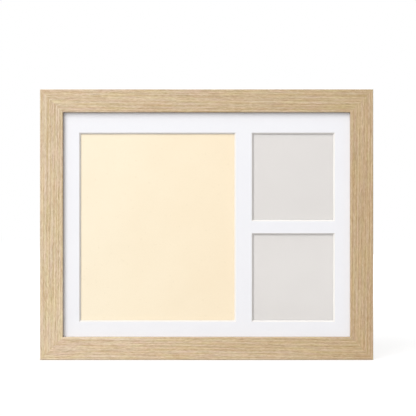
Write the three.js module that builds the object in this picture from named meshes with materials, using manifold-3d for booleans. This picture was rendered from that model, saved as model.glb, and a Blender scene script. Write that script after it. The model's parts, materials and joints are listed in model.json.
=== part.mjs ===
// A clay print keepsake frame: a mitred oak box frame that holds a three-window mat, a clay tile and
// two photo cards, closed by a backing board that carries an easel strut.
// Millimetres. X runs right as the frame is looked at, Y from the front to the back, and Z up.
// The origin is the middle of the underside of the bottom rail.

import * as THREE from "three";
import { mergeVertices } from "three/addons/utils/BufferGeometryUtils.js";
import Module from "manifold-3d";

// Outside of the frame
const FRAME_WIDTH = 280;
const FRAME_HEIGHT = 227.4;

// Rail section
const FACE_WIDTH = 19.3;
const RAIL_DEPTH = 22;
const LIP_DEPTH = 3.6;
const REBATE_WIDTH = 6.8;
const EDGE_ROUND = 0.8;
const BACK_EDGE_ROUND = 0.5;
const GLUE_LINE = 0.1;

// Clearances
const SEAT_GAP = 0.1;
const DRIVEN_GAP = 0.2;
const RUNNING_GAP = 0.2;
const REBATE_PLAY = 0.5;

// Mat board, with the borders and bars as they show at its front face
const MAT_THICKNESS = 1.2;
const LEFT_BORDER = 13.4;
const RIGHT_BORDER = 12.7;
const TOP_BORDER = 16.9;
const BOTTOM_BORDER = 12.5;
const WINDOW_BAR = 13.3;
const PHOTO_BAR = 10;
const PHOTO_WINDOW_WIDTH = 70;

// What lies behind the windows
const TILE_SETBACK = 0.3;
const TILE_LAP = 5;
const TILE_CORNER = 4;
const TILE_EDGE_ROUND = 1.2;
const TAPE_THICKNESS = 3;
const TAPE_WIDTH = 20;
const TAPE_INSET = 12;
const PANE_THICKNESS = 0.5;
const CARD_THICKNESS = 0.4;
const PANE_LAP = 5.5;
const PANE_SPACING = 1.9;
const SPACER_WIDTH = 5;
const BACKING_THICKNESS = 3;
const BACKING_SINK = 0.2;

// V-nails, driven from behind across each mitre
const V_NAIL_INSETS = { outer: 4, inner: 8.5 };
const V_NAIL_LEG = 6;
const V_NAIL_THICKNESS = 0.6;
const V_NAIL_DEPTH = 10;

// Turn buttons and their screws
const BUTTON_SPREAD = 78;
const BUTTON_THICKNESS = 1;
const BUTTON_REACH = 14;
const BUTTON_TAIL_RADIUS = 4.6;
const BUTTON_TIP_RADIUS = 3.2;
const BUTTON_EDGE = 0.2;
const SCREW_RADIUS = 1.4;
const SCREW_LENGTH = 11;
const SCREW_HEAD_RADIUS = 3;
const SCREW_HEAD_HEIGHT = 1.8;
const SCREW_POINT = 2.5;

// Easel strut and its hinge
const HINGE_DROP = 67;
const HINGE_WIDTH = 32;
const HINGE_KNUCKLES = 5;
const KNUCKLE_GAP = 0.4;
const LEAF_THICKNESS = 0.8;
const LEAF_HEIGHT = 21;
const LEAF_CORNER = 3;
const PIN_RADIUS = 0.9;
const PIN_HEAD_RADIUS = 1.5;
const PIN_HEAD_LENGTH = 0.6;
const RIVET_SPREAD = 10;
const RIVET_HEIGHT = 13;
const RIVET_RADIUS = 1.1;
const RIVET_HEAD_RADIUS = 2.2;
const RIVET_HEAD_HEIGHT = 0.8;
const STRUT_THICKNESS = 3;
const STRUT_TOP_WIDTH = 38;
const STRUT_FOOT_WIDTH = 62;
const STRUT_FOOT_HEIGHT = 6;
const STRUT_CORNER = 5;
const STRUT_EDGE = 0.3;
const EASEL_OPENING = THREE.MathUtils.degToRad(30);
const STOP_GAP = 0.3;

// Sawtooth hanger and its nails
const HANGER_WIDTH = 46;
const HANGER_HEIGHT = 9.5;
const HANGER_THICKNESS = 0.8;
const HANGER_LIFT = 1.6;
const HANGER_FOOT = 9;
const HANGER_CORNER = 1.5;
const HANGER_TEETH = 9;
const TOOTH_PITCH = 2.2;
const TOOTH_DEPTH = 1.6;
const HANGER_NAIL_RADIUS = 0.7;
const HANGER_NAIL_LENGTH = 10;
const HANGER_NAIL_HEAD_RADIUS = 1.8;
const HANGER_NAIL_HEAD_HEIGHT = 0.7;

// Facets
const ROUND_STEPS = 4;
const SMALL_SIDES = 16;
const HINGE_SIDES = 24;

// How far a cutting tool runs past the face that it opens
const OVERCUT = 1;

// Depths, worked out from front to back
const FRONT = -RAIL_DEPTH / 2;
const BACK = RAIL_DEPTH / 2;
const BACK_WALL = FACE_WIDTH - REBATE_WIDTH;
const MAT_FRONT = FRONT + LIP_DEPTH + SEAT_GAP;
const MAT_BACK = MAT_FRONT + MAT_THICKNESS;
const BACKING_BACK = BACK - BACKING_SINK;
const BACKING_FRONT = BACKING_BACK - BACKING_THICKNESS;
const PANE_FRONT = MAT_BACK + SEAT_GAP;
const CARD_FRONT = PANE_FRONT + PANE_THICKNESS + SEAT_GAP;
const FILLER_FRONT = CARD_FRONT + CARD_THICKNESS + SEAT_GAP;
const TAPE_BACK = BACKING_FRONT - SEAT_GAP;
const TAPE_FRONT = TAPE_BACK - TAPE_THICKNESS;
const TILE_BACK = TAPE_FRONT - SEAT_GAP;
// The clay is rolled to fill the depth that is left behind the mat
const TILE_FRONT = MAT_BACK + TILE_SETBACK;
const TILE_THICKNESS = TILE_BACK - TILE_FRONT;

// Hinge: both leaves lie tangent to the knuckles, one towards the backing and one towards the strut
const HINGE_HEIGHT = FRAME_HEIGHT - HINGE_DROP;
const KNUCKLE_RADIUS = PIN_RADIUS + RUNNING_GAP + LEAF_THICKNESS;
const HINGE_AXIS_DEPTH = BACKING_BACK + SEAT_GAP + KNUCKLE_RADIUS;
const STRUT_OFFSET = KNUCKLE_RADIUS + SEAT_GAP;
const KNUCKLE_LENGTH = (HINGE_WIDTH - KNUCKLE_GAP * (HINGE_KNUCKLES - 1)) / HINGE_KNUCKLES;
// The strut's heel stands above the axis and meets the fixed leaf when the easel is open
const FIXED_LEAF_FACE = PIN_RADIUS + RUNNING_GAP;
const STRUT_HEEL =
  (STRUT_OFFSET * Math.cos(EASEL_OPENING) + FIXED_LEAF_FACE - STOP_GAP) / Math.sin(EASEL_OPENING);

// The hanger's nails stand in the middle of its feet
const HANGER_NAIL_SPREAD = (HANGER_WIDTH - HANGER_FOOT) / 2;

// The rebate opening and the windows, in the frame's X and Z
const REBATE = {
  left: -FRAME_WIDTH / 2 + BACK_WALL,
  right: FRAME_WIDTH / 2 - BACK_WALL,
  bottom: BACK_WALL,
  top: FRAME_HEIGHT - BACK_WALL,
};
const WINDOW_TOP = FRAME_HEIGHT - FACE_WIDTH - TOP_BORDER;
const WINDOW_BOTTOM = FACE_WIDTH + BOTTOM_BORDER;
const WINDOW_RIGHT = FRAME_WIDTH / 2 - FACE_WIDTH - RIGHT_BORDER;
const PHOTO_WINDOW_HEIGHT = (WINDOW_TOP - WINDOW_BOTTOM - PHOTO_BAR) / 2;
const PHOTO_WINDOW_LEFT = WINDOW_RIGHT - PHOTO_WINDOW_WIDTH;
const WINDOWS = {
  clay: {
    left: -FRAME_WIDTH / 2 + FACE_WIDTH + LEFT_BORDER,
    right: PHOTO_WINDOW_LEFT - WINDOW_BAR,
    bottom: WINDOW_BOTTOM,
    top: WINDOW_TOP,
  },
  upper: {
    left: PHOTO_WINDOW_LEFT,
    right: WINDOW_RIGHT,
    bottom: WINDOW_TOP - PHOTO_WINDOW_HEIGHT,
    top: WINDOW_TOP,
  },
  lower: {
    left: PHOTO_WINDOW_LEFT,
    right: WINDOW_RIGHT,
    bottom: WINDOW_BOTTOM,
    top: WINDOW_BOTTOM + PHOTO_WINDOW_HEIGHT,
  },
};

// Finishes
const finish = (color, roughness, metalness = 0) =>
  new THREE.MeshStandardMaterial({ color, roughness, metalness });
const OAK = finish(0xd6bd9b, 0.55);
const MAT_WHITE = finish(0xf5f5f9, 0.9);
const CLAY = finish(0xfdefd4, 0.9);
const CARD_GREY = finish(0xe5e3de, 0.8);
const CLEAR_SHEET = finish(0xf2f6f6, 0.05);
const FOAM_WHITE = finish(0xe9e7e1, 0.95);
const SPACER_WOOD = finish(0xcdb591, 0.8);
const HARDBOARD = finish(0x7b5a3d, 0.8);
const STEEL = finish(0xb9bbbd, 0.35, 1);
const BRASSED_STEEL = finish(0xc2a15c, 0.35, 1);

// Joining and cutting closed meshes

const wasm = await Module();
wasm.setup();

function solidOf(geometry) {
  const bare = geometry.clone();
  bare.deleteAttribute("normal");
  bare.deleteAttribute("uv");
  const merged = mergeVertices(bare);
  return new wasm.Manifold(
    new wasm.Mesh({
      numProp: 3,
      vertProperties: new Float32Array(merged.attributes.position.array),
      triVerts: new Uint32Array(merged.index.array),
    }),
  );
}

function geometryOf(solid) {
  const { vertProperties, triVerts } = solid.getMesh();
  const geometry = new THREE.BufferGeometry();
  geometry.setAttribute("position", new THREE.BufferAttribute(vertProperties, 3));
  geometry.setIndex(new THREE.BufferAttribute(triVerts, 1));
  geometry.computeVertexNormals();
  return geometry;
}

function joined(geometries) {
  const [first, ...others] = geometries.map(solidOf);
  return geometryOf(others.reduce((whole, other) => whole.add(other), first));
}

function cut(geometry, tools) {
  const whole = tools.reduce((left, tool) => left.subtract(solidOf(tool)), solidOf(geometry));
  return geometryOf(whole);
}

// The part of one closed mesh that lies inside another
function common(geometry, other) {
  return geometryOf(solidOf(geometry).intersect(solidOf(other)));
}

// Shapes that several pieces share

// A box between two limits on each axis
function block([x0, x1], [y0, y1], [z0, z1]) {
  const geometry = new THREE.BoxGeometry(x1 - x0, y1 - y0, z1 - z0);
  return geometry.translate((x0 + x1) / 2, (y0 + y1) / 2, (z0 + z1) / 2);
}

// A round tool or pin along Y, from y0 to y1, at x and z
function roundAlongY(radius, y0, y1, x, z, sides = SMALL_SIDES) {
  return new THREE.CylinderGeometry(radius, radius, y1 - y0, sides).translate(x, (y0 + y1) / 2, z);
}

// A flat plate: an outline drawn in X and Z, thick along Y from 0 backwards
function plate(outline, thickness, edge = 0) {
  const geometry = new THREE.ExtrudeGeometry(outline, {
    depth: thickness - 2 * edge,
    bevelEnabled: edge > 0,
    bevelThickness: edge,
    bevelSize: edge,
    bevelOffset: -edge,
    bevelSegments: 2,
    curveSegments: SMALL_SIDES / 2,
  });
  return geometry.rotateX(Math.PI / 2).translate(0, thickness - edge, 0);
}

// A polygon with each corner rounded to a quarter curve
function roundedOutline(corners, radius) {
  const outline = new THREE.Shape();
  corners.forEach((corner, i) => {
    const before = corners.at(i - 1);
    const after = corners[(i + 1) % corners.length];
    const start = corner.clone().add(before.clone().sub(corner).setLength(radius));
    const end = corner.clone().add(after.clone().sub(corner).setLength(radius));
    if (i === 0) {
      outline.moveTo(start.x, start.y);
    } else {
      outline.lineTo(start.x, start.y);
    }
    outline.quadraticCurveTo(corner.x, corner.y, end.x, end.y);
  });
  outline.closePath();
  return outline;
}

function rectangle(width, height, radius) {
  const [x, z] = [width / 2, height / 2];
  const corners = [
    new THREE.Vector2(-x, -z),
    new THREE.Vector2(x, -z),
    new THREE.Vector2(x, z),
    new THREE.Vector2(-x, z),
  ];
  return roundedOutline(corners, radius);
}

// A domed head at y 0 to height, on a shank that runs forwards from it to a point or a flat end
function headedPin(headRadius, headHeight, radius, length, point = 0) {
  const profile = [new THREE.Vector2(0, -length)];
  if (point === 0) {
    profile.push(new THREE.Vector2(radius, -length));
  }
  profile.push(new THREE.Vector2(radius, -length + point));
  profile.push(new THREE.Vector2(radius, 0));
  profile.push(new THREE.Vector2(headRadius, 0));
  for (let step = 1; step <= ROUND_STEPS; step++) {
    const angle = (step / ROUND_STEPS) * (Math.PI / 2);
    const out = step === ROUND_STEPS ? 0 : headRadius * Math.cos(angle);
    profile.push(new THREE.Vector2(out, headHeight * Math.sin(angle)));
  }
  const distinct = profile.filter((corner, i) => i === 0 || corner.distanceTo(profile[i - 1]) > 0);
  return new THREE.LatheGeometry(distinct, SMALL_SIDES);
}

const middle = (from, to) => (from + to) / 2;

const frame = new THREE.Group();

function add(parent, name, geometry, material, place = [0, 0, 0]) {
  const mesh = new THREE.Mesh(geometry, material);
  mesh.name = name;
  mesh.position.set(...place);
  parent.add(mesh);
  return mesh;
}

// Rails. Each is made in its own frame: X inwards from the outer edge, Y to the back, Z along the rail

function railSection() {
  const section = new THREE.Shape();
  section.moveTo(EDGE_ROUND, FRONT);
  section.lineTo(FACE_WIDTH - EDGE_ROUND, FRONT);
  section.absarc(FACE_WIDTH - EDGE_ROUND, FRONT + EDGE_ROUND, EDGE_ROUND, -Math.PI / 2, 0);
  section.lineTo(FACE_WIDTH, FRONT + LIP_DEPTH);
  section.lineTo(BACK_WALL, FRONT + LIP_DEPTH);
  section.lineTo(BACK_WALL, BACK);
  section.lineTo(BACK_EDGE_ROUND, BACK);
  section.absarc(BACK_EDGE_ROUND, BACK - BACK_EDGE_ROUND, BACK_EDGE_ROUND, Math.PI / 2, Math.PI);
  section.lineTo(0, FRONT + EDGE_ROUND);
  section.absarc(EDGE_ROUND, FRONT + EDGE_ROUND, EDGE_ROUND, Math.PI, 1.5 * Math.PI);
  return section;
}

// The section runs the whole length, and each end is then drawn in to its mitre
function mitredRail(length) {
  const geometry = new THREE.ExtrudeGeometry(railSection(), {
    depth: length,
    bevelEnabled: false,
    curveSegments: ROUND_STEPS,
  });
  geometry.translate(0, 0, -length / 2);
  const place = geometry.attributes.position;
  for (let i = 0; i < place.count; i++) {
    const mitre = place.getX(i) + GLUE_LINE / Math.SQRT2;
    place.setZ(i, Math.sign(place.getZ(i)) * (length / 2 - mitre));
  }
  return geometry;
}

// The slots that take one leg of each V-nail, at both ends of a rail
function vNailSlots(length) {
  const slots = [];
  for (const inset of Object.values(V_NAIL_INSETS)) {
    const half = V_NAIL_THICKNESS / 2 + DRIVEN_GAP;
    const reach = length / 2 - inset - V_NAIL_LEG - DRIVEN_GAP;
    const across = [inset - half, inset + half];
    const deep = [BACK - V_NAIL_DEPTH - SEAT_GAP - DRIVEN_GAP, BACK + OVERCUT];
    slots.push(block(across, deep, [reach, length / 2 + OVERCUT]));
    slots.push(block(across, deep, [-length / 2 - OVERCUT, -reach]));
  }
  return slots;
}

// A blind hole in a rail's back
function railHole(radius, depth, along) {
  return roundAlongY(radius + DRIVEN_GAP, BACK - depth - DRIVEN_GAP, BACK + OVERCUT, BACK_WALL / 2, along);
}

const SCREW_SEAT = BACK + RUNNING_GAP + BUTTON_THICKNESS + RUNNING_GAP;
const HANGER_NAIL_SEAT = BACK + SEAT_GAP + HANGER_THICKNESS + SEAT_GAP;

const RAILS = [
  {
    name: "top",
    length: FRAME_WIDTH,
    turn: Math.PI / 2,
    place: [0, 0, FRAME_HEIGHT],
    buttons: { top_left: -BUTTON_SPREAD, top_right: BUTTON_SPREAD },
    nails: [-HANGER_NAIL_SPREAD, HANGER_NAIL_SPREAD],
  },
  {
    name: "bottom",
    length: FRAME_WIDTH,
    turn: -Math.PI / 2,
    place: [0, 0, 0],
    buttons: { bottom_left: BUTTON_SPREAD, bottom_right: -BUTTON_SPREAD },
    nails: [],
  },
  {
    name: "left",
    length: FRAME_HEIGHT,
    turn: 0,
    place: [-FRAME_WIDTH / 2, 0, FRAME_HEIGHT / 2],
    buttons: { left: 0 },
    nails: [],
  },
  {
    name: "right",
    length: FRAME_HEIGHT,
    turn: Math.PI,
    place: [FRAME_WIDTH / 2, 0, FRAME_HEIGHT / 2],
    buttons: { right: 0 },
    nails: [],
  },
];

// A stamped button: a round tail about its pivot that narrows to a rounded tip
function turnButton() {
  const lean = Math.asin((BUTTON_TAIL_RADIUS - BUTTON_TIP_RADIUS) / (BUTTON_REACH - BUTTON_TIP_RADIUS));
  const shoulder = Math.PI / 2 - lean;
  const outline = new THREE.Shape();
  outline.absarc(0, 0, BUTTON_TAIL_RADIUS, shoulder, 2 * Math.PI - shoulder);
  outline.absarc(BUTTON_REACH - BUTTON_TIP_RADIUS, 0, BUTTON_TIP_RADIUS, -shoulder, shoulder);
  outline.closePath();
  const hole = roundAlongY(SCREW_RADIUS + RUNNING_GAP, -OVERCUT, BUTTON_THICKNESS + OVERCUT, 0, 0);
  return cut(plate(outline, BUTTON_THICKNESS, BUTTON_EDGE), [hole]);
}

function addRails() {
  const screw = headedPin(SCREW_HEAD_RADIUS, SCREW_HEAD_HEIGHT, SCREW_RADIUS, SCREW_LENGTH, SCREW_POINT);
  const button = turnButton();
  const screwDepth = SCREW_LENGTH - (SCREW_SEAT - BACK);
  const nailDepth = HANGER_NAIL_LENGTH - (HANGER_NAIL_SEAT - BACK);
  for (const { name, length, turn, place, buttons, nails } of RAILS) {
    const side = new THREE.Group();
    side.rotation.y = turn;
    side.position.set(...place);
    frame.add(side);
    const holes = Object.values(buttons).map((along) => railHole(SCREW_RADIUS, screwDepth, along));
    holes.push(...nails.map((along) => railHole(HANGER_NAIL_RADIUS, nailDepth, along)));
    add(side, `rail_${name}`, cut(mitredRail(length), [...vNailSlots(length), ...holes]), OAK);
    for (const [where, along] of Object.entries(buttons)) {
      add(side, `turn_button_${where}`, button, STEEL, [BACK_WALL / 2, BACK + RUNNING_GAP, along]);
      add(side, `button_screw_${where}`, screw, STEEL, [BACK_WALL / 2, SCREW_SEAT, along]);
    }
  }
}

// V-nails: bent strips with a leg along each rail, in a frame whose origin is the outer corner

function vNail(inset) {
  const near = inset - V_NAIL_THICKNESS / 2;
  const far = inset + V_NAIL_THICKNESS / 2;
  const end = inset + V_NAIL_LEG;
  const outline = new THREE.Shape();
  outline.moveTo(near, near);
  outline.lineTo(end, near);
  outline.lineTo(end, far);
  outline.lineTo(far, far);
  outline.lineTo(far, end);
  outline.lineTo(near, end);
  outline.closePath();
  return plate(outline, V_NAIL_DEPTH);
}

function addVNails() {
  const corners = [
    { name: "bottom_left", turn: 0, place: [-FRAME_WIDTH / 2, 0, 0] },
    { name: "bottom_right", turn: -Math.PI / 2, place: [FRAME_WIDTH / 2, 0, 0] },
    { name: "top_right", turn: Math.PI, place: [FRAME_WIDTH / 2, 0, FRAME_HEIGHT] },
    { name: "top_left", turn: Math.PI / 2, place: [-FRAME_WIDTH / 2, 0, FRAME_HEIGHT] },
  ];
  for (const { name, turn, place } of corners) {
    const corner = new THREE.Group();
    corner.rotation.y = turn;
    corner.position.set(...place);
    frame.add(corner);
    for (const [where, inset] of Object.entries(V_NAIL_INSETS)) {
      add(corner, `v_nail_${name}_${where}`, vNail(inset), STEEL, [0, BACK - SEAT_GAP - V_NAIL_DEPTH, 0]);
    }
  }
}

// Mat board: the windows are cut at 45 degrees, wider at the front

function bevelCut({ left, right, bottom, top }) {
  const depth = MAT_THICKNESS + 2 * OVERCUT;
  const tool = new THREE.BoxGeometry(right - left, depth, top - bottom);
  const place = tool.attributes.position;
  for (let i = 0; i < place.count; i++) {
    const draw = place.getY(i) < 0 ? OVERCUT : -MAT_THICKNESS - OVERCUT;
    place.setX(i, place.getX(i) + Math.sign(place.getX(i)) * draw);
    place.setZ(i, place.getZ(i) + Math.sign(place.getZ(i)) * draw);
  }
  return tool.translate(middle(left, right), middle(MAT_FRONT, MAT_BACK), middle(bottom, top));
}

const insideRebate = (play) => [
  [REBATE.left + play, REBATE.right - play],
  [REBATE.bottom + play, REBATE.top - play],
];

function addMat() {
  const [across, up] = insideRebate(REBATE_PLAY);
  const board = block(across, [MAT_FRONT, MAT_BACK], up);
  add(frame, "mat_board", cut(board, Object.values(WINDOWS).map(bevelCut)), MAT_WHITE);
}

// The opening that a window leaves at the mat's back, with a lap all round for what lies behind it
function behindWindow({ left, right, bottom, top }, lap) {
  const grow = lap - MAT_THICKNESS;
  return { left: left - grow, right: right + grow, bottom: bottom - grow, top: top + grow };
}

function addClayTile() {
  const { left, right, bottom, top } = behindWindow(WINDOWS.clay, TILE_LAP);
  const outline = rectangle(right - left, top - bottom, TILE_CORNER);
  const tile = plate(outline, TILE_THICKNESS, TILE_EDGE_ROUND);
  add(frame, "clay_tile", tile, CLAY, [middle(left, right), TILE_FRONT, middle(bottom, top)]);
  const first = left + TAPE_INSET + TAPE_WIDTH / 2;
  const last = right - TAPE_INSET - TAPE_WIDTH / 2;
  const places = { left: first, middle: middle(first, last), right: last };
  for (const [name, x] of Object.entries(places)) {
    const across = [x - TAPE_WIDTH / 2, x + TAPE_WIDTH / 2];
    const strip = block(across, [TAPE_FRONT, TAPE_BACK], [bottom + TAPE_INSET, top - TAPE_INSET]);
    add(frame, `tile_tape_${name}`, strip, FOAM_WHITE);
  }
}

// Each photo has a pane, a card and a filler of one size. The two stacks meet behind the middle of the bar
function addPhotos() {
  const barMiddle = middle(WINDOWS.lower.top, WINDOWS.upper.bottom);
  const meeting = {
    upper: { bottom: barMiddle + PANE_SPACING / 2 },
    lower: { top: barMiddle - PANE_SPACING / 2 },
  };
  for (const [name, edge] of Object.entries(meeting)) {
    const { left, right, bottom, top } = { ...behindWindow(WINDOWS[name], PANE_LAP), ...edge };
    const layer = (front, back) => block([left, right], [front, back], [bottom, top]);
    add(frame, `photo_pane_${name}`, layer(PANE_FRONT, PANE_FRONT + PANE_THICKNESS), CLEAR_SHEET);
    add(frame, `photo_card_${name}`, layer(CARD_FRONT, CARD_FRONT + CARD_THICKNESS), CARD_GREY);
    add(frame, `photo_filler_${name}`, layer(FILLER_FRONT, BACKING_FRONT - SEAT_GAP), FOAM_WHITE);
  }
}

// Spacers: the top and bottom strips run right across, and the side strips stand between them
function addSpacers() {
  const [[left, right], [bottom, top]] = insideRebate(SEAT_GAP);
  const deep = [MAT_BACK + SEAT_GAP, BACKING_FRONT - SEAT_GAP];
  const between = [bottom + SPACER_WIDTH + SEAT_GAP, top - SPACER_WIDTH - SEAT_GAP];
  const strips = {
    top: block([left, right], deep, [top - SPACER_WIDTH, top]),
    bottom: block([left, right], deep, [bottom, bottom + SPACER_WIDTH]),
    left: block([left, left + SPACER_WIDTH], deep, between),
    right: block([right - SPACER_WIDTH, right], deep, between),
  };
  for (const [name, strip] of Object.entries(strips)) {
    add(frame, `spacer_${name}`, strip, SPACER_WOOD);
  }
}

// The two holes for a leaf's rivets, through what lies between front and back
function rivetHoles(front, back, height) {
  return [-RIVET_SPREAD, RIVET_SPREAD].map((x) =>
    roundAlongY(RIVET_RADIUS + DRIVEN_GAP, front - OVERCUT, back + OVERCUT, x, height),
  );
}

function addBacking() {
  const [across, up] = insideRebate(REBATE_PLAY);
  const board = block(across, [BACKING_FRONT, BACKING_BACK], up);
  const holes = rivetHoles(BACKING_FRONT, BACKING_BACK, HINGE_HEIGHT + RIVET_HEIGHT);
  add(frame, "backing_board", cut(board, holes), HARDBOARD);
}

// Easel. It is made about the hinge axis: X along the pin, Y to the back, Z up

// One leaf, standing up from the axis on the backing's side, with its own knuckles rolled round the pin
function hingeLeaf(ownsKnuckle) {
  const clear = KNUCKLE_RADIUS + RUNNING_GAP;
  const height = LEAF_HEIGHT - clear;
  const thick = [-KNUCKLE_RADIUS, -KNUCKLE_RADIUS + LEAF_THICKNESS];
  const root = clear + LEAF_CORNER;
  const body = plate(rectangle(HINGE_WIDTH, height, LEAF_CORNER), LEAF_THICKNESS);
  const parts = [
    body.translate(0, -KNUCKLE_RADIUS, clear + height / 2),
    block([-HINGE_WIDTH / 2, HINGE_WIDTH / 2], thick, [clear, root]),
  ];
  for (let k = 0; k < HINGE_KNUCKLES; k++) {
    if (!ownsKnuckle(k)) {
      continue;
    }
    const start = -HINGE_WIDTH / 2 + k * (KNUCKLE_LENGTH + KNUCKLE_GAP);
    const end = start + KNUCKLE_LENGTH;
    parts.push(block([start, end], thick, [0, root]));
    const knuckle = new THREE.CylinderGeometry(KNUCKLE_RADIUS, KNUCKLE_RADIUS, KNUCKLE_LENGTH, HINGE_SIDES);
    parts.push(knuckle.rotateZ(Math.PI / 2).translate(middle(start, end), 0, 0));
  }
  const boreRadius = PIN_RADIUS + RUNNING_GAP;
  const bore = new THREE.CylinderGeometry(boreRadius, boreRadius, HINGE_WIDTH + 2 * OVERCUT, HINGE_SIDES);
  return cut(joined(parts), [bore.rotateZ(Math.PI / 2), ...rivetHoles(...thick, RIVET_HEIGHT)]);
}

function hingePin() {
  const inner = HINGE_WIDTH / 2 + RUNNING_GAP;
  const outer = inner + PIN_HEAD_LENGTH;
  const profile = [
    new THREE.Vector2(0, -outer),
    new THREE.Vector2(PIN_HEAD_RADIUS, -outer),
    new THREE.Vector2(PIN_HEAD_RADIUS, -inner),
    new THREE.Vector2(PIN_RADIUS, -inner),
    new THREE.Vector2(PIN_RADIUS, inner),
    new THREE.Vector2(PIN_HEAD_RADIUS, inner),
    new THREE.Vector2(PIN_HEAD_RADIUS, outer),
    new THREE.Vector2(0, outer),
  ];
  return new THREE.LatheGeometry(profile, SMALL_SIDES).rotateZ(Math.PI / 2);
}

function easelStrut() {
  const foot = STRUT_FOOT_HEIGHT - HINGE_HEIGHT;
  const corners = [
    new THREE.Vector2(-STRUT_FOOT_WIDTH / 2, foot),
    new THREE.Vector2(STRUT_FOOT_WIDTH / 2, foot),
    new THREE.Vector2(STRUT_TOP_WIDTH / 2, STRUT_HEEL),
    new THREE.Vector2(-STRUT_TOP_WIDTH / 2, STRUT_HEEL),
  ];
  const board = plate(roundedOutline(corners, STRUT_CORNER), STRUT_THICKNESS, STRUT_EDGE);
  const holes = rivetHoles(STRUT_OFFSET, STRUT_OFFSET + STRUT_THICKNESS, -RIVET_HEIGHT);
  return cut(board.translate(0, STRUT_OFFSET, 0), holes);
}

function addEasel() {
  const hinge = new THREE.Group();
  hinge.position.set(0, HINGE_AXIS_DEPTH, HINGE_HEIGHT);
  frame.add(hinge);
  const fixed = (k) => k % 2 === 0;
  const moving = (k) => k % 2 === 1;
  add(hinge, "hinge_leaf_fixed", hingeLeaf(fixed), STEEL);
  add(hinge, "hinge_leaf_moving", hingeLeaf(moving).rotateX(Math.PI), STEEL);
  add(hinge, "hinge_pin", hingePin(), STEEL);
  add(hinge, "easel_strut", easelStrut(), HARDBOARD);
  const fixedSeat = -KNUCKLE_RADIUS + LEAF_THICKNESS + SEAT_GAP;
  const fixedGrip = fixedSeat + HINGE_AXIS_DEPTH - BACKING_FRONT - DRIVEN_GAP;
  const movingSeat = STRUT_OFFSET + STRUT_THICKNESS + SEAT_GAP;
  const movingGrip = movingSeat - KNUCKLE_RADIUS + LEAF_THICKNESS;
  const rivet = (grip) => headedPin(RIVET_HEAD_RADIUS, RIVET_HEAD_HEIGHT, RIVET_RADIUS, grip);
  for (const [name, x] of [["left", -RIVET_SPREAD], ["right", RIVET_SPREAD]]) {
    add(hinge, `fixed_leaf_rivet_${name}`, rivet(fixedGrip), STEEL, [x, fixedSeat, RIVET_HEIGHT]);
    add(hinge, `moving_leaf_rivet_${name}`, rivet(movingGrip), STEEL, [x, movingSeat, -RIVET_HEIGHT]);
  }
}

// Sawtooth hanger: a strip bent out from the rail between its two nailed feet, toothed along its lower edge

function wallHanger() {
  const end = HANGER_WIDTH / 2 + OVERCUT;
  const bend = HANGER_WIDTH / 2 - HANGER_FOOT;
  const rise = bend - HANGER_LIFT;
  const mitre = HANGER_THICKNESS * Math.tan(Math.PI / 8);
  const section = new THREE.Shape();
  section.moveTo(-end, 0);
  section.lineTo(-bend, 0);
  section.lineTo(-rise, HANGER_LIFT);
  section.lineTo(rise, HANGER_LIFT);
  section.lineTo(bend, 0);
  section.lineTo(end, 0);
  section.lineTo(end, HANGER_THICKNESS);
  section.lineTo(bend + mitre, HANGER_THICKNESS);
  section.lineTo(rise + mitre, HANGER_LIFT + HANGER_THICKNESS);
  section.lineTo(-rise - mitre, HANGER_LIFT + HANGER_THICKNESS);
  section.lineTo(-bend - mitre, HANGER_THICKNESS);
  section.lineTo(-end, HANGER_THICKNESS);
  section.closePath();
  const length = HANGER_HEIGHT + 2 * OVERCUT;
  const bent = new THREE.ExtrudeGeometry(section, { depth: length, bevelEnabled: false });
  const outline = rectangle(HANGER_WIDTH, HANGER_HEIGHT, HANGER_CORNER);
  const blank = plate(outline, HANGER_LIFT + HANGER_THICKNESS + 2 * OVERCUT).translate(0, -OVERCUT, 0);
  const strip = common(bent.translate(0, 0, -length / 2), blank);
  const lower = -HANGER_HEIGHT / 2;
  const start = (-HANGER_TEETH * TOOTH_PITCH) / 2;
  const teeth = new THREE.Shape();
  teeth.moveTo(start, lower - OVERCUT);
  teeth.lineTo(start, lower);
  for (let tooth = 0; tooth < HANGER_TEETH; tooth++) {
    teeth.lineTo(start + (tooth + 0.5) * TOOTH_PITCH, lower + TOOTH_DEPTH);
    teeth.lineTo(start + (tooth + 1) * TOOTH_PITCH, lower);
  }
  teeth.lineTo(-start, lower - OVERCUT);
  teeth.closePath();
  const tools = [plate(teeth, HANGER_LIFT + HANGER_THICKNESS + OVERCUT)];
  for (const x of [-HANGER_NAIL_SPREAD, HANGER_NAIL_SPREAD]) {
    tools.push(roundAlongY(HANGER_NAIL_RADIUS + DRIVEN_GAP, -OVERCUT, HANGER_THICKNESS + OVERCUT, x, 0));
  }
  return cut(strip, tools);
}

function addHanger() {
  const height = FRAME_HEIGHT - BACK_WALL / 2;
  add(frame, "wall_hanger", wallHanger(), BRASSED_STEEL, [0, BACK + SEAT_GAP, height]);
  const nail = headedPin(
    HANGER_NAIL_HEAD_RADIUS,
    HANGER_NAIL_HEAD_HEIGHT,
    HANGER_NAIL_RADIUS,
    HANGER_NAIL_LENGTH,
    HANGER_NAIL_RADIUS,
  );
  for (const [name, x] of [["left", -HANGER_NAIL_SPREAD], ["right", HANGER_NAIL_SPREAD]]) {
    add(frame, `hanger_nail_${name}`, nail, BRASSED_STEEL, [x, HANGER_NAIL_SEAT, height]);
  }
}

addRails();
addVNails();
addMat();
addClayTile();
addPhotos();
addSpacers();
addBacking();
addEasel();
addHanger();

export default frame;
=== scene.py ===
"""Looks for a clay print keepsake frame: oak rails, white mat, clay tile, photo cards and back hardware.
Metres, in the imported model's frame: X to the right of its front, Y from the front to the back, Z up."""

import json
import math

import bmesh
import bpy
from mathutils import Matrix, Vector, noise


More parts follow.
